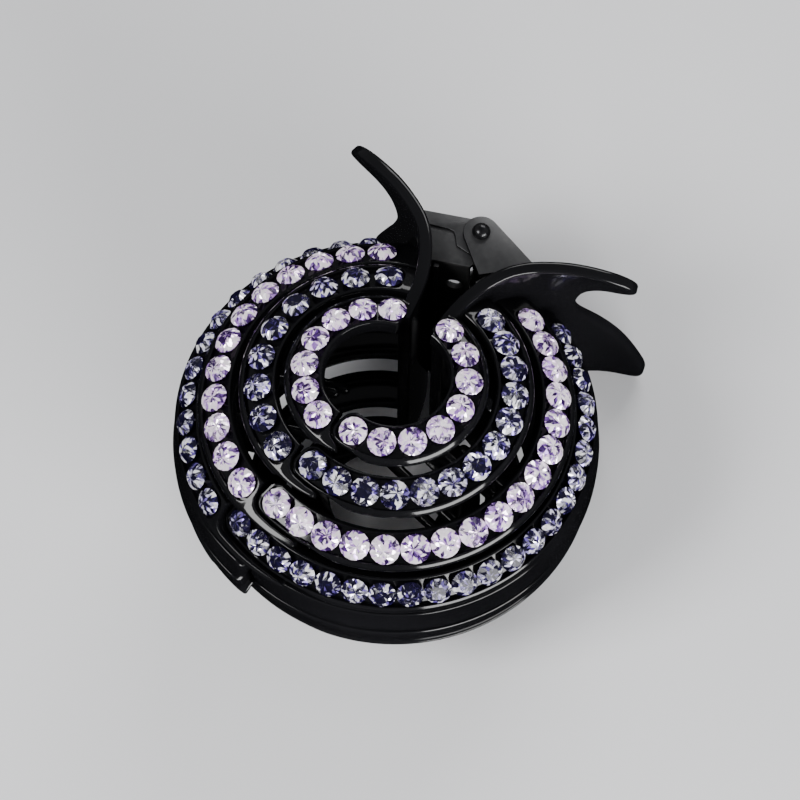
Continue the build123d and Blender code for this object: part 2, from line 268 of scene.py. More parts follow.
# shares of the way across and of the way back, and of the lean
LEVER_PLAN = ((0.000, 0.000, 0.00), (0.025, 0.225, 0.00), (0.125, 0.515, 0.00), (0.245, 0.680, 0.00),
              (0.400, 0.790, 0.35), (0.560, 0.868, 0.80), (0.740, 0.930, 1.00), (1.130, 1.033, 1.00))


def smooth_path(points, steps):
    """A cubic through the points, spaced by their chords, with its ends left straight."""
    p = np.array(points, float)
    t = np.concatenate([[0.0], np.cumsum(np.linalg.norm(np.diff(p, axis=0), axis=1))])
    n = len(p)
    matrix = np.zeros((n, n))
    target = np.zeros((n, p.shape[1]))
    gap = np.diff(t)
    matrix[0, 0] = matrix[-1, -1] = 1.0
    for i in range(1, n - 1):
        matrix[i, i - 1:i + 2] = gap[i - 1], 2 * (gap[i - 1] + gap[i]), gap[i]
        target[i] = 6 * ((p[i + 1] - p[i]) / gap[i] - (p[i] - p[i - 1]) / gap[i - 1])
    bend = np.linalg.solve(matrix, target)
    at = np.linspace(0.0, t[-1], steps)
    i = np.clip(np.searchsorted(t, at, side="right") - 1, 0, n - 2)
    a = ((t[i + 1] - at) / gap[i])[:, None]
    b = ((at - t[i]) / gap[i])[:, None]
    g = (gap[i] ** 2 / 6)[:, None]
    return a * p[i] + b * p[i + 1] + ((a ** 3 - a) * bend[i] + (b ** 3 - b) * bend[i + 1]) * g


PATH_STEPS = 240
lever_path = smooth_path([(SPINE_INSET + x * (LEVER_SPAN - SPINE_INSET),
                           SPINE_ROOT_Y + y * (LEVER_TIP_Y - SPINE_ROOT_Y), lean)
                          for x, y, lean in LEVER_PLAN], PATH_STEPS)
path_length = np.concatenate([[0.0], np.cumsum(np.linalg.norm(np.diff(lever_path[:, :2], axis=0), axis=1))])
LEVER_LENGTH = float(path_length[-1])


def path_at(along, column):
    return np.interp(along, path_length, lever_path[:, column])


def wall_point(side, along, level, offset):
    """A place on the spine wall or lever: mm along it from its root, its level, and off its hinge face."""
    lean = LEVER_LEAN * (1 - level / LEVER_TOP)
    x = path_at(along, 0)
    y = path_at(along, 1) + path_at(along, 2) * lean
    step = 0.3
    ahead, behind = np.minimum(along + step, LEVER_LENGTH), np.maximum(along - step, 0.0)
    dx = path_at(ahead, 0) - path_at(behind, 0)
    dy = path_at(ahead, 1) - path_at(behind, 1) + (path_at(ahead, 2) - path_at(behind, 2)) * lean
    run = np.hypot(dx, dy)
    return np.stack([side * (x + offset * dy / run), y - offset * dx / run, level + 0 * x], -1)


def end_angle(side, reach, level):
    """Degrees at which a line of a band, at a reach from its arc's centre, is inside the wall."""
    along = np.linspace(0.0, LEVER_LENGTH, 160)
    wall = wall_point(side, along, np.full(160, level), 0.5 * WALL_THICK)[:, :2]
    wall = np.vstack([wall[0] - (wall[1] - wall[0]) * 30, wall])
    cx, cy = ARC_CENTRE[side]
    angles = np.radians(np.linspace(*BAND_END, 400))
    x = cx + side * reach * np.sin(angles)
    y = cy - reach * np.cos(angles)
    d = (x[:, None] - wall[None, :, 0]) ** 2 + (y[:, None] - wall[None, :, 1]) ** 2
    near = d.argmin(1).clip(1, len(wall) - 2)
    run = wall[near + 1] - wall[near - 1]
    cross = run[:, 0] * (y - wall[near, 1]) - run[:, 1] * (x - wall[near, 0])
    beyond = np.nonzero(cross * side > 0)[0]
    return float(np.degrees(angles[beyond[0]])) if len(beyond) else BAND_END[1]


def right_tip(row):
    """Degrees at which a right tooth ends."""
    reach = row["stone"] / 2 + STONE_ROOM + TIP_RIM if row["stone"] else 0.0
    return row["right_tip"] - math.degrees(reach / (row["radius"] * BALL_RADIUS))


def first_stone(row, side):
    """Degrees of the stone nearest the tip. A left one stops short of the right tooth's tip."""
    if side == 1:
        return row["right_tip"]
    radius = row["radius"] * BALL_RADIUS
    tip = math.radians(right_tip(row))
    x = ARC_CENTRE[1][0] + radius * math.sin(tip) - ARC_CENTRE[-1][0]
    y = ARC_CENTRE[1][1] - radius * math.cos(tip) - ARC_CENTRE[-1][1]
    return math.degrees(math.atan2(-x, -y) + (JAW_CLEARANCE + TIP_RIM + row["stone"] / 2) / radius)


def rounded(half, corner, into):
    """Half width of a strip with rounded corners, at a distance into it from its end."""
    into = min(max(into, 0.0), corner)
    return half - corner + math.sqrt(max(corner ** 2 - (corner - into) ** 2, 0.0))


def cut_by_right(row, degrees_left):
    """Where a left tooth's inner edge runs beside the right tooth that laps inside it."""
    radius = row["radius"] * BALL_RADIUS
    half = row["width"] / 2
    tilt = math.radians(row["tilt"])
    corner = TIP_ROUND + JAW_CLEARANCE if row["stone"] else 0.001
    a = math.radians(degrees_left)
    for step in range(101):
        across = half - step * row["width"] / 100
        reach = radius + across * math.cos(tilt)
        x = ARC_CENTRE[-1][0] - reach * math.sin(a) - ARC_CENTRE[1][0]
        y = ARC_CENTRE[-1][1] - reach * math.cos(a) - ARC_CENTRE[1][1]
        into = radius * (math.atan2(x, -y) - math.radians(right_tip(row))) + JAW_CLEARANCE
        in_right = across - (reach - math.hypot(x, y)) * math.cos(tilt)
        if into > 0 and abs(in_right) < rounded(half + JAW_CLEARANCE, corner, into):
            return across
    return -half


def edges_at(row, side, sign, degrees, s):
    """A band's inner and outer edge, across it, at its degrees and mm from its tip."""
    half = row["width"] / 2
    if side == 1 or not row["stone"]:
        outer = rounded(half, TIP_ROUND, s)
        return -outer, outer
    width_left = half - cut_by_right(row, degrees)
    near_end = min(s / SLIVER_ROUND[sign], 1.0)
    kept = math.sqrt(near_end * (2 - near_end) + SLIVER_BLUNT) / math.sqrt(1 + SLIVER_BLUNT)
    outer = half - width_left * (1 - kept) * SLIVER_OUTER[sign]
    return outer - width_left * kept, outer


def band_stations(last, channel, own_tip):
    """Mm along a band at which its section is set out, close together where it rounds."""
    turn = [1 - math.cos(math.radians(d)) for d in range(0, 91, 15)]
    marks = [x * EDGE_ROUND for x in turn]
    if own_tip:
        marks += [x * TIP_ROUND for x in turn]
    if channel:
        marks += [channel[0] + x * (TIP_ROUND - TIP_RIM) for x in turn] + [channel[0] - CHANNEL_STEP]
        marks += [channel[1] - x * (TIP_ROUND - TIP_RIM) for x in turn] + [channel[1] + CHANNEL_STEP]
    marks = {round(m, 4) for m in marks}
    count = max(int(last / STATION), 12)
    for i in range(count + 1):
        here = last * i / count
        if all(abs(here - m) > STATION_APART for m in marks):
            marks.add(round(here, 4))
    return sorted(m for m in marks if m < last - STATION_LAST) + [last]


def edge_slope(edge_at, out, over, facing, top):
    """A band's upper edge, as a slightly crowned flat that turns down into the side."""
    turns = [(facing + d, 1.0) for d in RIM_CROWN] + [(facing * share, 0.5) for share in RIM_TURN]
    scale = over / sum(length * math.sin(math.radians(a)) for a, length in turns)
    slope = [(edge_at - out * over, top)]
    for a, length in turns:
        slope.append((slope[-1][0] + out * scale * length * math.sin(math.radians(a)),
                      slope[-1][1] - scale * length * math.cos(math.radians(a))))
    return slope


def band_section(row, edges, cuts, top, floor_level, lip, bulge):
    """A band's section, across it and above its face, from its outer back edge round to the inner."""
    wide = (edges[1] - edges[0]) / 2
    back = min(BACK_ROUND, EDGE_MOST * wide)
    lip_down = max(min(lip, top - floor_level), 0.0)
    halves = []
    for edge_at, cut_at, out in ((edges[1], cuts[1], 1), (edges[0], cuts[0], -1)):
        rim = out == 1 and row["stone"] > 0
        swollen = bulge if out == 1 else 0.0
        edge_at += swollen
        over = min(OUTER_ROUND + bulge if out == 1 else EDGE_ROUND, EDGE_MOST * wide)
        facing = min(RIM_NORMAL + row["tilt"], RIM_STEEPEST) if rim else EDGE_NORMAL
        halves.append([
            (edge_at - out * (back + swollen), -BAND_THICK),
            (edge_at - out * (0.29 * back + 0.7 * swollen), -BAND_THICK + 0.29 * back),
            (edge_at - out * 0.35 * swollen, -BAND_THICK + back),
            *edge_slope(edge_at, out, over, facing, top)[::-1],
            (cut_at + out * min(lip, 0.3 * RIM_WIDTH, 0.2 * wide), top),
            (cut_at, top - lip_down),
            (cut_at - out * 0.3 * lip, floor_level + lip_down),
            (cut_at - out * 1.3 * lip, floor_level),
        ])
    return halves[0] + [((edges[0] + edges[1]) / 2, floor_level)] + halves[1][::-1]


def belts(rings, around, capped=True):
    """Faces between rings of points that follow one another, and over the two ends."""
    faces = [(r * around + i, r * around + (i + 1) % around, (r + 1) * around + (i + 1) % around,
              (r + 1) * around + i) for r in range(rings - 1) for i in range(around)]
    if capped:
        faces += [tuple(range(around))[::-1], tuple((rings - 1) * around + i for i in range(around))]
    return faces


def mesh_of(name, corners, faces):
    """A mesh from corners in mm."""
    mesh = bpy.data.meshes.new(name)
    mesh.from_pydata([tuple(float(c) * MM for c in corner) for corner in corners], [], faces)
    return mesh


def strip_mesh(row, side, sign):
    """A band laid out straight: X along it from its tip, Y across it outwards, Z above its face."""
    radius = row["radius"] * BALL_RADIUS
    half = row["width"] / 2
    tilt = math.radians(row["tilt"])
    per_degree = math.radians(radius)
    start = right_tip(row) if side == 1 else SLIVER_START[sign]
    if side == -1:
        while half - cut_by_right(row, start) < SLIVER_LEAST:
            start += 0.1
    last = (end_angle(side, radius, MID_HEIGHT + sign * row["height"] * BALL_HALF_HEIGHT) - start) * per_degree
    channel = None
    if sign == 1 and row["stone"]:
        room = row["stone"] / 2 + STONE_ROOM
        channel = ((first_stone(row, side) - start) * per_degree - room,
                   (row["spine"] - start) * per_degree + room)
    stations = band_stations(last, channel, side == 1 or not row["stone"])
    corners = []
    for s in stations:
        degrees = start + s / per_degree
        edges = edges_at(row, side, sign, degrees, s)
        wide = (edges[1] - edges[0]) / 2
        top = rounded(0.0, EDGE_ROUND if side == 1 or row["stone"] else PLAIN_END_ROUND, s)
        if channel and channel[0] - 1.5 * CHANNEL_STEP < s < channel[1] + 1.5 * CHANNEL_STEP:
            into = min(s - channel[0], channel[1] - s)
            reach = rounded(half - RIM_WIDTH, TIP_ROUND - TIP_RIM, into)
            cuts, lip = (-reach, reach), LIP_ROUND
            floor_level = -CHANNEL_DEPTH if into > -0.001 else 0.0
        else:
            cuts, lip = (edges[0] + 0.6 * wide, edges[1] - 0.6 * wide), 0.1 * wide
            floor_level = top
        # a right tooth's tip lies inside a left one, so it swells only past the mid-plane
        swell = min(max(degrees / SWELL_DEGREES, 0.0), 1.0) if side == 1 else 1.0
        bulge = OUTER_BULGE * swell * swell * (3 - 2 * swell) * min(wide / half, 1.0) if row["stone"] else 0.0
        for across, high in band_section(row, edges, cuts, top, floor_level, lip, bulge):
            here = s
            if s == last:
                level = MID_HEIGHT + sign * (row["height"] * BALL_HALF_HEIGHT
                                             - across * math.sin(tilt) + high * math.cos(tilt))
                reach = radius + across * math.cos(tilt) + high * math.sin(tilt)
                here = (end_angle(side, reach, level) - start) * per_degree
            corners.append((here, across, high))
    # stations close to the end are pulled back where the wall cuts the band on a slant
    corners = np.array(corners).reshape(len(stations), -1, 3)
    room = STATION_LEAST * np.arange(len(stations) - 1, 0, -1)
    corners[:-1, :, 0] = np.minimum(corners[:-1, :, 0], corners[-1, :, 0] - room[:, None])
    return mesh_of("strip", corners.reshape(-1, 3), belts(*corners.shape[:2])), start


def node_group(name, inputs):
    """An empty geometry tree with named inputs, and its geometry input as a Socket."""
    tree = bpy.data.node_groups.new(name, "GeometryNodeTree")
    tree.interface.new_socket("Geometry", in_out="INPUT", socket_type="NodeSocketGeometry")
    tree.interface.new_socket("Geometry", in_out="OUTPUT", socket_type="NodeSocketGeometry")
    for key, kind in inputs.items():
        tree.interface.new_socket(key, in_out="INPUT", socket_type="NodeSocket" + kind)
    entry = tree.nodes.new("NodeGroupInput")
    return tree, {o.name: Socket(tree, o) for o in entry.outputs if o.name}


def close_group(tree, result, material):
    realized = result.node("GeometryNodeRealizeInstances", None, {"Geometry": result})
    painted = result.node("GeometryNodeSetMaterial", None, {"Geometry": realized, "Material": material})
    leave = tree.nodes.new("NodeGroupOutput")
    tree.links.new(painted.output, leave.inputs["Geometry"])


def grown(mesh, tree, values):
    """The plain mesh that a geometry tree makes of a mesh, with these inputs."""
    carrier = linked(tree.name, mesh)
    modifier = carrier.modifiers.new("grow", "NODES")
    modifier.node_group = tree
    for item in tree.interface.items_tree:
        if item.item_type == "SOCKET" and item.in_out == "INPUT" and item.name in values:
            modifier[item.identifier] = values[item.name]
    made = bpy.data.meshes.new_from_object(carrier.evaluated_get(bpy.context.evaluated_depsgraph_get()))
    carrier.modifiers.clear()
    bpy.data.objects.remove(carrier)
    return made


RING_INPUTS = {"Centre X": "Float", "Centre Y": "Float", "Height": "Float", "Radius": "Float",
               "Tilt": "Float", "Side": "Float", "Half": "Float", "Start": "Float"}
ring_tree, ring = node_group("bend_round_ring", {**RING_INPUTS, "Material": "Material"})
geometry = ring["Geometry"]
straight = geometry.node("GeometryNodeInputPosition")
along, across, above = straight.node("ShaderNodeSeparateXYZ", None, {"Vector": straight}, ("X", "Y", "Z"))
angle = ring["Start"] + along / ring["Radius"]
cos_tilt, sin_tilt = angle.maths("COSINE", ring["Tilt"]), angle.maths("SINE", ring["Tilt"])
reach = ring["Radius"] + across * cos_tilt + above * sin_tilt
bent = angle.node("ShaderNodeCombineXYZ", None, {
    "X": ring["Centre X"] + ring["Side"] * reach * angle.maths("SINE", angle),
    "Y": ring["Centre Y"] - reach * angle.maths("COSINE", angle),
    "Z": ring["Height"] + ring["Half"] * (above * cos_tilt - across * sin_tilt)})
close_group(ring_tree, angle.node("GeometryNodeSetPosition", None, {"Geometry": geometry, "Position": bent}),
            ring["Material"])


def ring_values(row, side, sign, start):
    return {"Centre X": ARC_CENTRE[side][0] * MM, "Centre Y": ARC_CENTRE[side][1] * MM,
            "Height": (MID_HEIGHT + sign * row["height"] * BALL_HALF_HEIGHT) * MM,
            "Radius": row["radius"] * BALL_RADIUS * MM, "Tilt": math.radians(row["tilt"]),
            "Side": float(side), "Half": float(sign), "Start": math.radians(start)}


def one_piece(name, meshes, material, smooth, body, stands_for=()):
    """Joins meshes into one object at the origin, faces outwards, and rides it on its body."""
    whole = bmesh.new()
    for mesh in meshes:
        part = bmesh.new()
        part.from_mesh(mesh)
        bmesh.ops.recalc_face_normals(part, faces=part.faces)
        if part.calc_volume(signed=True) < 0:
            bmesh.ops.reverse_faces(part, faces=part.faces)
        part.to_mesh(mesh)
        part.free()
        whole.from_mesh(mesh)
    made = bpy.data.meshes.new(name)
    whole.to_mesh(made)
    whole.free()
    made.materials.clear()
    made.materials.append(material)
    if smooth:
        made.shade_smooth()
        made.set_sharp_from_angle(angle=math.radians(smooth))
    piece = linked(name, made)
    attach(piece, body)
    if stands_for:
        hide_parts(*stands_for)
    return piece


for side, word in WORDS.items():
    bands = []
    for row in ROWS:
        for sign in (1, -1):
            strip, start = strip_mesh(row, side, sign)
            bands.append(grown(strip, ring_tree, {**ring_values(row, side, sign, start), "Material": plastic}))
    one_piece(word + "_toothed_bands", bands, plastic, 40.0, word, [word + "_jaw"])

# ---------------------------------------------------------------------------------------------
# Spine walls and levers. The same moulding runs on behind the teeth as a curved wall that leans
# out to its foot, and ends in a pointed finger lever above and a broad lobe below.
LEVER_OUTLINE = (       # shares of the span, on the left jaw and on the right, and of the height
    (0.35, 0.35, 0.998), (0.65, 0.65, 0.992), (0.85, 0.85, 0.972), (0.96, 0.96, 0.940), (1.00, 1.00, 0.905),
    (0.95, 0.95, 0.880), (0.80, 0.80, 0.865), (0.66, 0.70, 0.830), (0.600, 0.645, 0.770), (0.608, 0.625, 0.700),
    (0.645, 0.645, 0.620), (0.695, 0.745, 0.530), (0.757, 0.860, 0.430), (0.842, 0.960, 0.300),
    (0.925, 1.030, 0.170), (0.965, 1.055, 0.080), (0.930, 1.020, 0.020), (0.840, 0.920, 0.000))
WALL_ROUND = 0.55
WALL_GRID = 1.1


def loop_and_inward(outline, least):
    """An outline turned anticlockwise, and at each point the way in, longer at corners, up to 1 / least."""
    loop = np.array(outline, float)
    if np.sum(loop[:, 0] * np.roll(loop[:, 1], -1) - loop[:, 1] * np.roll(loop[:, 0], -1)) < 0:
        loop = loop[::-1]
    before, after = loop - np.roll(loop, 1, 0), np.roll(loop, -1, 0) - loop
    before /= np.linalg.norm(before, axis=1)[:, None]
    after /= np.linalg.norm(after, axis=1)[:, None]
    inward = np.stack([-(before[:, 1] + after[:, 1]), before[:, 0] + after[:, 0]], 1)
    inward /= np.maximum(np.linalg.norm(inward, axis=1), 1e-6)[:, None]
    return loop, inward / np.clip((inward * np.stack([-after[:, 1], after[:, 0]], 1)).sum(1), least, 1)[:, None]


def curved_plate(name, side, outline, near, far, corner, grid):
    """A plate that follows the wall: its outline in mm along and up, between two offsets off the wall."""
    loop, inward = loop_and_inward(outline, 0.5)
    rings = []
    for d in range(0, 91, 18):
        a = math.radians(d)
        rings.append((corner * (1 - math.sin(a)), near + corner * (1 - math.cos(a))))
    rings += [(inset, far - (level - near)) for inset, level in rings[::-1]]
    verts = []
    n = len(loop)
    faces = belts(len(rings), n, False)
    for inset, offset in rings:
        edge = loop + inward * inset
        verts += list(wall_point(side, edge[:, 0], edge[:, 1], offset))
    edge = loop + inward * corner
    low, high = edge.min(0), edge.max(0)
    inside = [Vector((u, v)) for u in np.arange(low[0] + grid, high[0], grid)
              for v in np.arange(low[1] + grid, high[1], grid)
              if np.min(np.hypot(edge[:, 0] - u, edge[:, 1] - v)) > 0.6 * grid]
    flat = [Vector(p) for p in edge] + inside
    points, _, tris, origin, _, _ = delaunay_2d_cdt(flat, [], [list(range(n))], 1, 1e-6)
    for offset, last in ((near, 0), (far, len(rings) - 1)):
        index = {}
        for k, (p, source) in enumerate(zip(points, origin)):
            rim = [s for s in source if s < n]
            if rim:
                index[k] = last * n + rim[0]
            else:
                index[k] = len(verts)
                verts.append(wall_point(side, np.array(p.x), np.array(p.y), offset))
        faces += [tuple(index[v] for v in (t if last else t[::-1])) for t in tris]
    mesh = mesh_of(name, verts, faces)
    mesh.validate()
    return mesh


def along_at(x):
    """Mm along the wall at which its middle surface is this far from the mid-plane."""
    steps = np.linspace(0.0, LEVER_LENGTH, 400)
    middle = wall_point(1, steps, np.full(400, LEVER_TOP), 0.5 * WALL_THICK)[:, 0]
    return float(np.interp(x, np.maximum.accumulate(middle), steps))


def stepped(start, end, count):
    """Points on a straight line, evenly spaced, without its end."""
    return [tuple(point) for point in np.linspace(start, end, count)[:-1]]


for side, word in WORDS.items():
    path = smooth_path([(along_at((left if side == -1 else right) * LEVER_SPAN), z * LEVER_TOP)
                        for left, right, z in LEVER_OUTLINE], 130)
    path[:, 0] = np.minimum(path[:, 0], LEVER_LENGTH)
    path[:, 1] = np.maximum(path[:, 1], 0.0)
    foot_end = float(path[-1, 0])
    lever_loop = (stepped((0.0, 0.0), (0.0, LEVER_TOP), 40)
                  + stepped((0.0, LEVER_TOP), (path[0, 0], LEVER_TOP), 12)
                  + [tuple(p) for p in path] + stepped((foot_end, 0.0), (0.0, 0.0), 24)[1:])
    wall = curved_plate(word + "_lever", side, lever_loop, 0.0, WALL_THICK, WALL_ROUND, WALL_GRID)
    one_piece(word + "_spine_and_lever", [wall], plastic, 60.0, word)

# ---------------------------------------------------------------------------------------------
# Inner tines. Slim round-ended rods of the same moulding stand inwards from the teeth on each
# side and hold the hair inside the ball.
TINE_RADIUS = 0.85
# level, then the foot's and the tip's place in plan, as shares of the ball
TINES = ((0.384, 0.88, -0.18, 0.28, -0.02), (0.129, 0.90, -0.36, 0.06, -0.12),
         (-0.129, 0.97, 0.02, 0.34, 0.18), (-0.384, 0.82, -0.30, 0.22, -0.14))
TINE_SIDES = 16


def straight_rod(foot, tip, radius, sides):
    """A straight round-ended rod, in mm."""
    axis = (tip - foot).normalized()
    first = axis.cross(Vector((0, 0, 1))).normalized()
    second = axis.cross(first)
    rings = [(foot, 1.0)] + [(tip + axis * radius * math.sin(math.radians(d)), math.cos(math.radians(d)))
                             for d in (0, 20, 40, 60, 78)]
    corners = [centre + (first * math.cos(a) + second * math.sin(a)) * radius * share
               for centre, share in rings for a in (2 * math.pi * i / sides for i in range(sides))]
    return mesh_of("rod", corners, belts(len(rings), sides))


def tine_mesh(side, level, x0, y0, x1, y1):
    z = MID_HEIGHT + level * BALL_HALF_HEIGHT
    return straight_rod(Vector((side * x0 * BALL_RADIUS, y0 * BALL_RADIUS, z)),
                        Vector((side * x1 * BALL_RADIUS, y1 * BALL_RADIUS, z)), TINE_RADIUS, TINE_SIDES)


for side, word in WORDS.items():
    one_piece(word + "_tines", [tine_mesh(side, *row) for row in TINES], plastic, 50.0, word)

# ---------------------------------------------------------------------------------------------
# Stones. Foil-backed cut glass, lilac in the first and third rows and violet in the second and
# fourth, each glued in its channel with its girdle just above the rims.
STONE_CROWN = 0.90
STONE_LIFT = 0.10
# the lightness painted on each kind of facet, a painted reflection: light on the crown, dark on the back facets
TABLE_TONE, STAR_TONE, KITE_TONE, GIRDLE_TONE, BACK_TONE = 0.42, 0.60, 0.55, 0.48, 0.1
SPIN = 0.785                # radians, one of the cut's eight repeats
GLINT = 0.34                # by which a facet's painted lightness may differ from its kind's
WEDGES, OFF_CENTRE = 16, 0.17


def stone_mesh():
    """A brilliant cut of girdle radius 1 and crown height 1: table, stars, kites and girdle facets."""
    rings = []
    layout = ((0.54, 1.0, 8, 0.0), (0.79, 0.54, 8, 0.5), (1.0, 0.06, 16, 0.0), (1.0, -0.06, 16, 0.0),
              (0.42, -1.0, 8, 0.0))
    for reach, high, count, turn in layout:
        rings.append([(reach * math.cos(2 * math.pi * (i + turn) / count),
                       reach * math.sin(2 * math.pi * (i + turn) / count), high) for i in range(count)])
    starts = np.cumsum([0] + [len(r) for r in rings])
    verts = [corner for belt in rings for corner in belt]
    faces, tones = [tuple(range(8))], [TABLE_TONE]

    def facet(tone, *corners):
        faces.append(tuple(int(starts[belt] + i % len(rings[belt])) for belt, i in corners))
        tones.append(tone)

    for i in range(8):
        facet(STAR_TONE, (0, i), (1, i), (0, i + 1))
        facet(KITE_TONE, (0, i), (1, i - 1), (2, 2 * i), (1, i))
        facet(GIRDLE_TONE, (1, i), (2, 2 * i), (2, 2 * i + 1))
        facet(GIRDLE_TONE + 0.1, (1, i), (2, 2 * i + 1), (2, 2 * i + 2))
        facet(BACK_TONE, (3, 2 * i), (4, i), (4, i + 1), (3, 2 * i + 2), (3, 2 * i + 1))
    for i in range(16):
        facet(BACK_TONE, (2, i), (3, i), (3, i + 1), (2, i + 1))
    faces.append(tuple(int(starts[4] + i) for i in range(8))[::-1])
    tones.append(BACK_TONE)
    mesh = bpy.data.meshes.new("stone")
    mesh.from_pydata(verts, [], faces)
    # each facet's painted lightness, a painted reflection
    tone = mesh.attributes.new("facet_tone", "FLOAT", "FACE")
    tone.data.foreach_set("value", np.array(tones, np.float32))
    local = mesh.attributes.new("stone_place", "FLOAT_VECTOR", "POINT")
    local.data.foreach_set("vector", np.array(verts, np.float32).ravel())
    return mesh


def any_between(seed, least, most):
    return seed.node("FunctionNodeRandomValue", {"data_type": "FLOAT"}, {2: least, 3: most, "Seed": seed}, 1)


stone_tree, stone = node_group("stones_along_ring", {
    **RING_INPUTS, "End": "Float", "Count": "Int", "Stone Radius": "Float", "Crown": "Float",
    "Lift": "Float", "Seed": "Int", "Material": "Material"})
geometry = stone["Geometry"]
index = geometry.node("GeometryNodeInputIndex")
angle = stone["Start"] + (stone["End"] - stone["Start"]) * index / (stone["Count"] - 1)
cos_tilt, sin_tilt = angle.maths("COSINE", stone["Tilt"]), angle.maths("SINE", stone["Tilt"])
sin_angle, cos_angle = angle.maths("SINE", angle), angle.maths("COSINE", angle)
reach = stone["Radius"] + stone["Lift"] * sin_tilt
seat = angle.node("ShaderNodeCombineXYZ", None, {
    "X": stone["Centre X"] + stone["Side"] * reach * sin_angle,
    "Y": stone["Centre Y"] - reach * cos_angle,
    "Z": stone["Height"] + stone["Half"] * stone["Lift"] * cos_tilt})
facing = angle.node("ShaderNodeCombineXYZ", None, {
    "X": stone["Side"] * sin_tilt * sin_angle, "Y": -(sin_tilt * cos_angle), "Z": stone["Half"] * cos_tilt})
points = angle.node("GeometryNodePoints", None, {"Count": stone["Count"], "Position": seat})
turned = angle.node("FunctionNodeAlignRotationToVector", {"axis": "Z"}, {"Vector": facing})
spin = angle.node("ShaderNodeCombineXYZ", None, {"Z": any_between(stone["Seed"], 0.0, SPIN)})
spin_turn = angle.node("FunctionNodeEulerToRotation", None, {0: spin})
spun = angle.node("FunctionNodeRotateRotation", {"rotation_space": "LOCAL"}, {0: turned, 1: spin_turn})
size = angle.node("ShaderNodeCombineXYZ", None, {
    "X": stone["Stone Radius"], "Y": stone["Stone Radius"], "Z": stone["Crown"]})
set_stones = angle.node("GeometryNodeInstanceOnPoints", None, {
    "Points": points, "Instance": geometry, "Rotation": spun, "Scale": size})
lot = any_between(stone["Seed"] + 3, 0.0, 1.0)
numbered = angle.node("GeometryNodeStoreNamedAttribute", {"data_type": "FLOAT", "domain": "INSTANCE"},
                      {"Geometry": set_stones, "Name": "stone_lot", "Value": lot})
realized = angle.node("GeometryNodeRealizeInstances", None, {"Geometry": numbered})
# each facet's painted lightness, its kind's with a random offset: a painted reflection, read by the glass shader
base_tone = angle.node("GeometryNodeInputNamedAttribute", {"data_type": "FLOAT"}, {"Name": "facet_tone"})
glint = any_between(stone["Seed"] + 7, -GLINT, GLINT)
toned = angle.node("GeometryNodeStoreNamedAttribute", {"data_type": "FLOAT", "domain": "FACE"},
                   {"Geometry": realized, "Name": "glint", "Value": base_tone + glint})
close_group(stone_tree, toned, stone["Material"])


def stored(at, name, output="Fac"):
    """What the mesh keeps under this name, as a number or as a vector."""
    return at.node("ShaderNodeAttribute", {"attribute_name": name}, None, output)


def cut_glass(stops):
    """Foil-backed glass with painted reflection: the back facets are painted as wedges round an off-centre point,
    each with its own lightness, from near black to near white, and its own slight tilt, so that some of them catch
    a softbox. The same colour is painted on as a glow."""
    def build(at):
        tone, lot, local = stored(at, "glint"), stored(at, "stone_lot"), stored(at, "stone_place", "Vector")
        east, north = local.node("ShaderNodeSeparateXYZ", None, {"Vector": local}, ("X", "Y"))
        east = east + at.maths("SINE", lot * 40.0) * OFF_CENTRE
        north = north + at.maths("COSINE", lot * 40.0) * OFF_CENTRE
        wedge = at.maths("ARCTAN2", north, east) * (WEDGES / 2 / math.pi) + WEDGES / 2
        out = at.maths("SQRT", east * east + north * north)
        zigzag = at.maths("PINGPONG", wedge, 1.0)
        belt = at.maths("FLOOR", out * 3.1 + zigzag * 0.8)
        wedge_number = at.maths("FLOOR", wedge + belt * 0.5)
        cell = at.node("ShaderNodeCombineXYZ", None, {"X": wedge_number, "Y": belt, "Z": lot * 97.0})
        chance = at.node("ShaderNodeTexWhiteNoise", {"noise_dimensions": "3D"}, {"Vector": cell}, "Color")
        red, green, blue = chance.node("ShaderNodeSeparateColor", None, {"Color": chance}, ("Red", "Green", "Blue"))
        # painted lightness of each wedge, a painted reflection from near black to near white
        shade = tone * 0.75 + (red - 0.5) * 0.85
        colour = shades(shade, *stops)
        tilts = (green - 0.5) * east + (blue - 0.5) * north
        return {
            "Base Color": colour,
            "Roughness": 0.05 + green * 0.08,
            "Metallic": 0.30 + shade * 0.45,
            # painted glow: the glass gives off its painted colour as light, though it is no lamp
            "Emission Color": colour,
            "Normal": relief(tilts, 1.0, 0.0017),
        }
    return build


# the stones glow with their painted colour, and the ramps run from painted dark facets to painted near-white
# highlights
GLASS = {"IOR": 1.6, "Coat Weight": 0.3, "Coat Roughness": 0.02, "Coat IOR": 1.5, "Emission Strength": 0.68}
lilac = finish_of("lilac_glass", GLASS, cut_glass([
    (0.08, (0.018, 0.004, 0.045)), (0.21, (0.10, 0.035, 0.22)), (0.31, (0.42, 0.22, 0.64)),
    (0.40, (0.92, 0.67, 0.95)), (0.53, (1.0, 0.91, 0.99))]))
violet = finish_of("violet_glass", GLASS, cut_glass([
    (0.38, (0.003, 0.002, 0.012)), (0.51, (0.014, 0.008, 0.065)), (0.59, (0.17, 0.12, 0.44)),
    (0.65, (0.72, 0.68, 0.97)), (0.73, (0.99, 0.98, 1.0))]))
stone_shape = stone_mesh()
for side, word in WORDS.items():
    for number, row in enumerate(ROWS[:4], 1):
        values = ring_values(row, side, 1, first_stone(row, side))
        glass = lilac if number in (1, 3) else violet
        values.update({"End": math.radians(row["spine"]), "Count": row[word],
                       "Stone Radius": row["stone"] / 2 * MM, "Crown": STONE_CROWN * MM,
                       "Lift": STONE_LIFT * MM, "Seed": 11 * number + side, "Material": glass})
        stones = grown(stone_shape, stone_tree, values)
        one_piece("%s_stones_row_%d_cut" % (word, number), [stones], glass, None, word,
                  ["%s_stones_row_%d" % (word, number)])

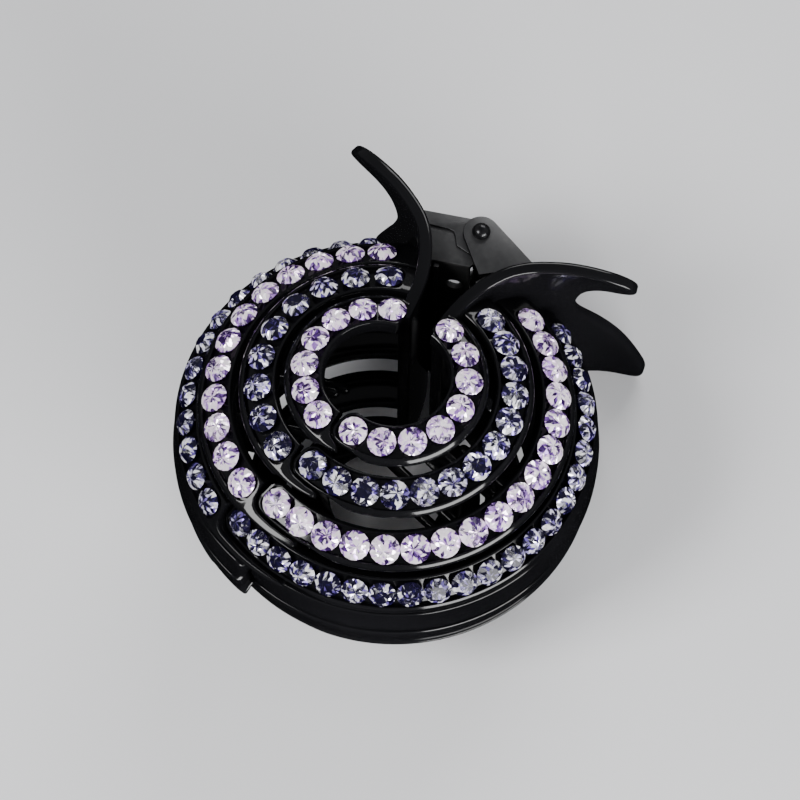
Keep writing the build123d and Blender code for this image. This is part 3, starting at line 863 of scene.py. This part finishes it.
# ---------------------------------------------------------------------------------------------
# Hinge brackets. Each is one stamping of dark coated sheet steel, with two ears that lap on the
# rivet and a back that lies on the lever; the left one's edge is folded down and has a hole.
HINGE_Y = 27.3
SHEET = 0.9
SHEET_ROUND = 0.16
EAR_RADIUS = 2.6
EAR_LEVEL = {-1: 18.5, 1: 19.5}          # of the ears' outer faces, from the middle of the height
# corners of the ears, the fold and the step, in mm from the rivet's axis
EAR_CORNERS = {-1: ((-1.1, -2.4), (-1.1, -4.9), (6.0, -7.1), (11.0, -0.8)), 1: ((3.0, -6.2), (9.5, -1.0))}
FOLD_LINE = ((-1.1, -5.2), (6.0, -7.4))
STEP_DROP = 0.32            # from the raised strip round the left upper ear's rim down to the rest
STEP_BELOW = 0.1            # by which the rest reaches below the strip
STEP_RIM = -1.0             # the strip's rim lies beyond this, and is followed round the centre
STEP_CENTRE = (-3.0, -3.0)
STEP_LINE = ((7.9, -2.2), (4.5, -1.35), (3.7, -1.35), (3.2, -1.9), (2.2, -3.2), (-1.1, -3.6))
BACK_END = 7.0
BACK_DEPTH = 7.4
BACK_GAP = 0.2
FOLD_SHARE = 0.80           # of the fold line's length
FOLD_ROUND, FOLD_GAP = 0.42, 0.05
FOLD_HOLE = {"radius": 1.3, "drop": 6.3, "share": 0.29}


def coated_steel(at):
    """Satin black coating on sheet steel: fine grain and paler worn patches, with the faces round the sheet's edges
    painted near black as painted shade.
    """
    sheared = stored(at, "sheared")
    grain = noise(at, 1400.0, 3.0)
    worn = noise(at, 160.0, 5.0)
    colour = shades(worn + (grain - 0.5) * 0.3, (0.30, (0.050, 0.050, 0.052)), (0.62, (0.075, 0.075, 0.076)),
                    (0.80, (0.110, 0.109, 0.107)))
    return {
        # painted shade: the faces round the sheet's edges are painted near black
        "Base Color": at.node("ShaderNodeMix", {"data_type": "RGBA"}, {
            0: sheared, 6: colour, 7: (0.006, 0.006, 0.007, 1.0)}, 2),
        "Roughness": 0.33 + grain * 0.16,
        "Normal": relief(grain, 0.12, 0.00006),
    }


steel_coat = finish_of("dark_metal", {"Metallic": 0.75, "IOR": 1.5}, coated_steel)


def hull_of(points):
    """Convex outline round points in plan, in a mesh's single precision."""
    flat = sorted(tuple(Vector(p)) for p in points)

    def chain(run):
        kept = []
        for p in run:
            while len(kept) > 1 and ((kept[-1][0] - kept[-2][0]) * (p[1] - kept[-2][1])
                                     - (kept[-1][1] - kept[-2][1]) * (p[0] - kept[-2][0])) <= 0:
                kept.pop()
            kept.append(p)
        return kept[:-1]
    return chain(flat) + chain(flat[::-1])


def flat_sheet(name, outline, low, high, corner):
    """A flat sheet with eased edges, its outline in plan."""
    loop, inward = loop_and_inward(outline, 0.6)
    rings = [(corner * (1 - math.sin(a)), corner * (1 - math.cos(a)))
             for a in (math.radians(d) for d in (0, 30, 60, 90))]
    rings = [(inset, low + up) for inset, up in rings] + [(inset, high - up) for inset, up in rings[::-1]]
    n = len(loop)
    corners = [(*(p + inset * q), level) for inset, level in rings for p, q in zip(loop, inward)]
    faces = belts(len(rings), n)
    mesh = mesh_of(name, corners, faces)
    # marks the faces round the sheet's edges, which the steel's shader paints near black as painted shade
    edge_face = mesh.attributes.new("sheared", "FLOAT", "FACE")
    edge_face.data.foreach_set("value", [float(n <= k < (len(rings) - 2) * n) for k in range(len(faces))])
    return mesh


def ear_outline(side, corners):
    boss = [(EAR_RADIUS * math.cos(a), HINGE_Y + EAR_RADIUS * math.sin(a))
            for a in (math.radians(d) for d in range(0, 360, 6))]
    return hull_of(boss + [(side * x, HINGE_Y + y) for x, y in corners])


def folded_edge(side):
    """The sheet folded down between the ears along their edge towards the ball, with its round hole."""
    first, second = (Vector((side * x, HINGE_Y + y, 0)) for x, y in FOLD_LINE)
    length = (second - first).length * FOLD_SHARE
    run = (second - first).normalized()
    back = run.cross(Vector((0, 0, 1)))
    low, high = -EAR_LEVEL[side] + FOLD_GAP, EAR_LEVEL[side] - STEP_DROP
    sheet = flat_sheet("fold", [(0.0, low), (length, low), (length, high), (0.0, high)], 0.0, SHEET, FOLD_ROUND)
    # the fold's edges get no painted shade
    sheet.attributes["sheared"].data.foreach_set("value", [0.0] * len(sheet.polygons))
    seat = Matrix((run, Vector((0, 0, 1)), back)).transposed().to_4x4()
    seat.translation = (first + Vector((0, 0, MID_HEIGHT))) * MM
    sheet.transform(seat)
    body = linked("fold", sheet)
    hole = first + (second - first) * FOLD_HOLE["share"]
    hole.z = MID_HEIGHT + EAR_LEVEL[side] - FOLD_HOLE["drop"]
    punch_mesh = bpy.data.meshes.new("punch")
    punch = bmesh.new()
    bmesh.ops.create_cone(punch, cap_ends=True, segments=40, radius1=FOLD_HOLE["radius"] * MM,
                          radius2=FOLD_HOLE["radius"] * MM, depth=6 * MM,
                          matrix=Matrix.Translation(hole * MM) @ back.to_track_quat("Z", "Y").to_matrix().to_4x4())
    punch.to_mesh(punch_mesh)
    punch.free()
    cutter = linked("punch", punch_mesh)
    cut = body.modifiers.new("hole", "BOOLEAN")
    cut.object = cutter
    cut.operation = "DIFFERENCE"
    cut.solver = "EXACT"
    made = bpy.data.meshes.new_from_object(body.evaluated_get(bpy.context.evaluated_depsgraph_get()))
    bpy.data.objects.remove(body)
    bpy.data.objects.remove(cutter)
    return made


run_steps = np.linspace(0.0, LEVER_LENGTH, 400)
wall_line = wall_point(1, run_steps, np.full(400, MID_HEIGHT), 0.0)
back_from = float(run_steps[np.argmax(wall_line[:, 1] > HINGE_Y - BACK_DEPTH)])
back_to = float(run_steps[np.argmax(wall_line[:, 0] > BACK_END)])
for side, word in WORDS.items():
    level = EAR_LEVEL[side] - SHEET
    edges = [(u, MID_HEIGHT + z) for u, z in ((back_from, -level), (back_from, level), (back_to, level),
                                              (back_to, -level), (back_from, -level))]
    back_loop = [p for a, b, count in zip(edges, edges[1:], (24, 9, 24, 9)) for p in stepped(a, b, count)]
    sheets = [curved_plate("back", side, back_loop, -BACK_GAP - SHEET, -BACK_GAP, SHEET_ROUND, WALL_GRID)]
    whole_ear = ear_outline(side, EAR_CORNERS[side])
    low, high = MID_HEIGHT - EAR_LEVEL[side], MID_HEIGHT + EAR_LEVEL[side]
    sheets.append(flat_sheet("lower_ear", whole_ear, low, low + SHEET, SHEET_ROUND))
    if side == 1:
        sheets.append(flat_sheet("upper_ear", whole_ear, high - SHEET, high, SHEET_ROUND))
    else:
        sheets.append(flat_sheet("upper_ear", whole_ear, high - SHEET - STEP_BELOW, high - STEP_DROP, SHEET_ROUND))
        rim = [p for p in whole_ear if p[1] > HINGE_Y + STEP_RIM + 0.02 * abs(p[0])]
        rim.sort(key=lambda p: math.atan2(p[1] - HINGE_Y - STEP_CENTRE[1], p[0] - STEP_CENTRE[0]))
        raised = rim + [(side * x, HINGE_Y + y) for x, y in STEP_LINE]
        sheets.append(flat_sheet("raised_strip", raised, high - SHEET, high, SHEET_ROUND))
        sheets.append(folded_edge(side))
    one_piece(word + "_hinge_bracket", sheets, steel_coat, 30.0, word, [word + "_bracket"])

# ---------------------------------------------------------------------------------------------
# Rivet. A blackened steel pin through all four ears, whose ends are upset to domed heads that
# hold the ears together and let them turn.
def burnished_black(at):
    """Blackened rivet steel, burnished by the upsetting tool."""
    rub = noise(at, 900.0, 3.0)
    colour = shades(rub, (0.35, (0.010, 0.010, 0.011)), (0.75, (0.030, 0.030, 0.031)))
    return {"Base Color": colour, "Roughness": 0.16 + rub * 0.16}


rivet_black = finish_of("rivet_black", {"Metallic": 0.6, "IOR": 1.5}, burnished_black)
# a head's radius and its height over the shank's end, from its crown down
PIN_PROFILE = ((0.0, 1.20), (0.30, 1.17), (0.60, 1.08), (0.88, 0.90), (1.10, 0.66), (1.26, 0.36),
               (1.33, 0.16), (1.30, 0.03), (1.22, 0.0), (0.9, 0.0))
PIN_REACH = 19.6
PIN_SIDES = 40
profile = [(r, PIN_REACH + z) for r, z in PIN_PROFILE] + [(r, -PIN_REACH - z) for r, z in PIN_PROFILE[::-1]]
corners = [(0.0, HINGE_Y, MID_HEIGHT + profile[0][1])]
corners += [(r * math.cos(a), HINGE_Y + r * math.sin(a), MID_HEIGHT + z) for r, z in profile[1:-1]
            for a in (2 * math.pi * i / PIN_SIDES for i in range(PIN_SIDES))]
corners.append((0.0, HINGE_Y, MID_HEIGHT + profile[-1][1]))
lowest = len(corners) - 1 - PIN_SIDES
faces = [(0, 1 + i, 1 + (i + 1) % PIN_SIDES) for i in range(PIN_SIDES)]
faces += [(a + 1, d + 1, c + 1, b + 1) for a, b, c, d in belts(len(profile) - 2, PIN_SIDES, False)]
faces += [(lowest + (i + 1) % PIN_SIDES, lowest + i, len(corners) - 1) for i in range(PIN_SIDES)]
pin_mesh = mesh_of("pin", corners, faces)
one_piece("domed_rivet", [pin_mesh], rivet_black, 40.0, "left", ["hinge_pin"])

# ---------------------------------------------------------------------------------------------
# Spring. A close coil of drawn steel wire round the rivet, whose two straight legs bear on the
# brackets' backs and close the jaws.
WIRE_RADIUS, COIL_RADIUS, COIL_TURNS, COIL_PITCH, LEG_LENGTH = 0.4, 1.85, 8.5, 1.04, 4.6
WIRE_SIDES = 14


def drawn_wire(at):
    """Drawn spring steel: a dark oiled tone with fine draw marks."""
    marks = noise(at, 2600.0, 2.0)
    tint = noise(at, 300.0, 3.0)
    colour = shades(tint, (0.30, (0.10, 0.10, 0.105)), (0.70, (0.20, 0.195, 0.19)))
    return {"Base Color": colour, "Roughness": 0.22 + marks * 0.16}


wire_steel = finish_of("spring_steel", {"Metallic": 1.0}, drawn_wire)
coil_tree, coil = node_group("wound_coil", {"Turns": "Float", "Coil Radius": "Float", "Wire Radius": "Float",
                                            "Length": "Float", "Place": "Vector", "Material": "Material"})
winding = coil["Turns"].node("GeometryNodeCurveSpiral", None, {
    "Resolution": 32, "Rotations": coil["Turns"], "Start Radius": coil["Coil Radius"],
    "End Radius": coil["Coil Radius"], "Height": coil["Length"]})
wire = winding.node("GeometryNodeCurvePrimitiveCircle", None, {
    "Resolution": WIRE_SIDES, "Radius": coil["Wire Radius"]})
wound = winding.node("GeometryNodeCurveToMesh", None, {
    "Curve": winding, "Profile Curve": wire, "Fill Caps": True})
placed = winding.node("GeometryNodeTransform", None, {"Geometry": wound, "Translation": coil["Place"]})
close_group(coil_tree, placed, coil["Material"])
coil_height = COIL_TURNS * COIL_PITCH
coil_low = MID_HEIGHT - coil_height / 2
wound_mesh = grown(bpy.data.meshes.new("coil"), coil_tree, {
    "Turns": COIL_TURNS, "Coil Radius": COIL_RADIUS * MM, "Wire Radius": WIRE_RADIUS * MM,
    "Length": coil_height * MM, "Place": (0.0, HINGE_Y * MM, coil_low * MM), "Material": wire_steel})
legs = [straight_rod(Vector((COIL_RADIUS * end, HINGE_Y, z)),
                     Vector((COIL_RADIUS * end, HINGE_Y - LEG_LENGTH + WIRE_RADIUS, z)), WIRE_RADIUS, WIRE_SIDES)
        for end, z in ((1, coil_low), (-1, coil_low + coil_height))]
one_piece("coil_spring", [wound_mesh, *legs], wire_steel, 50.0, "left", ["torsion_spring"])
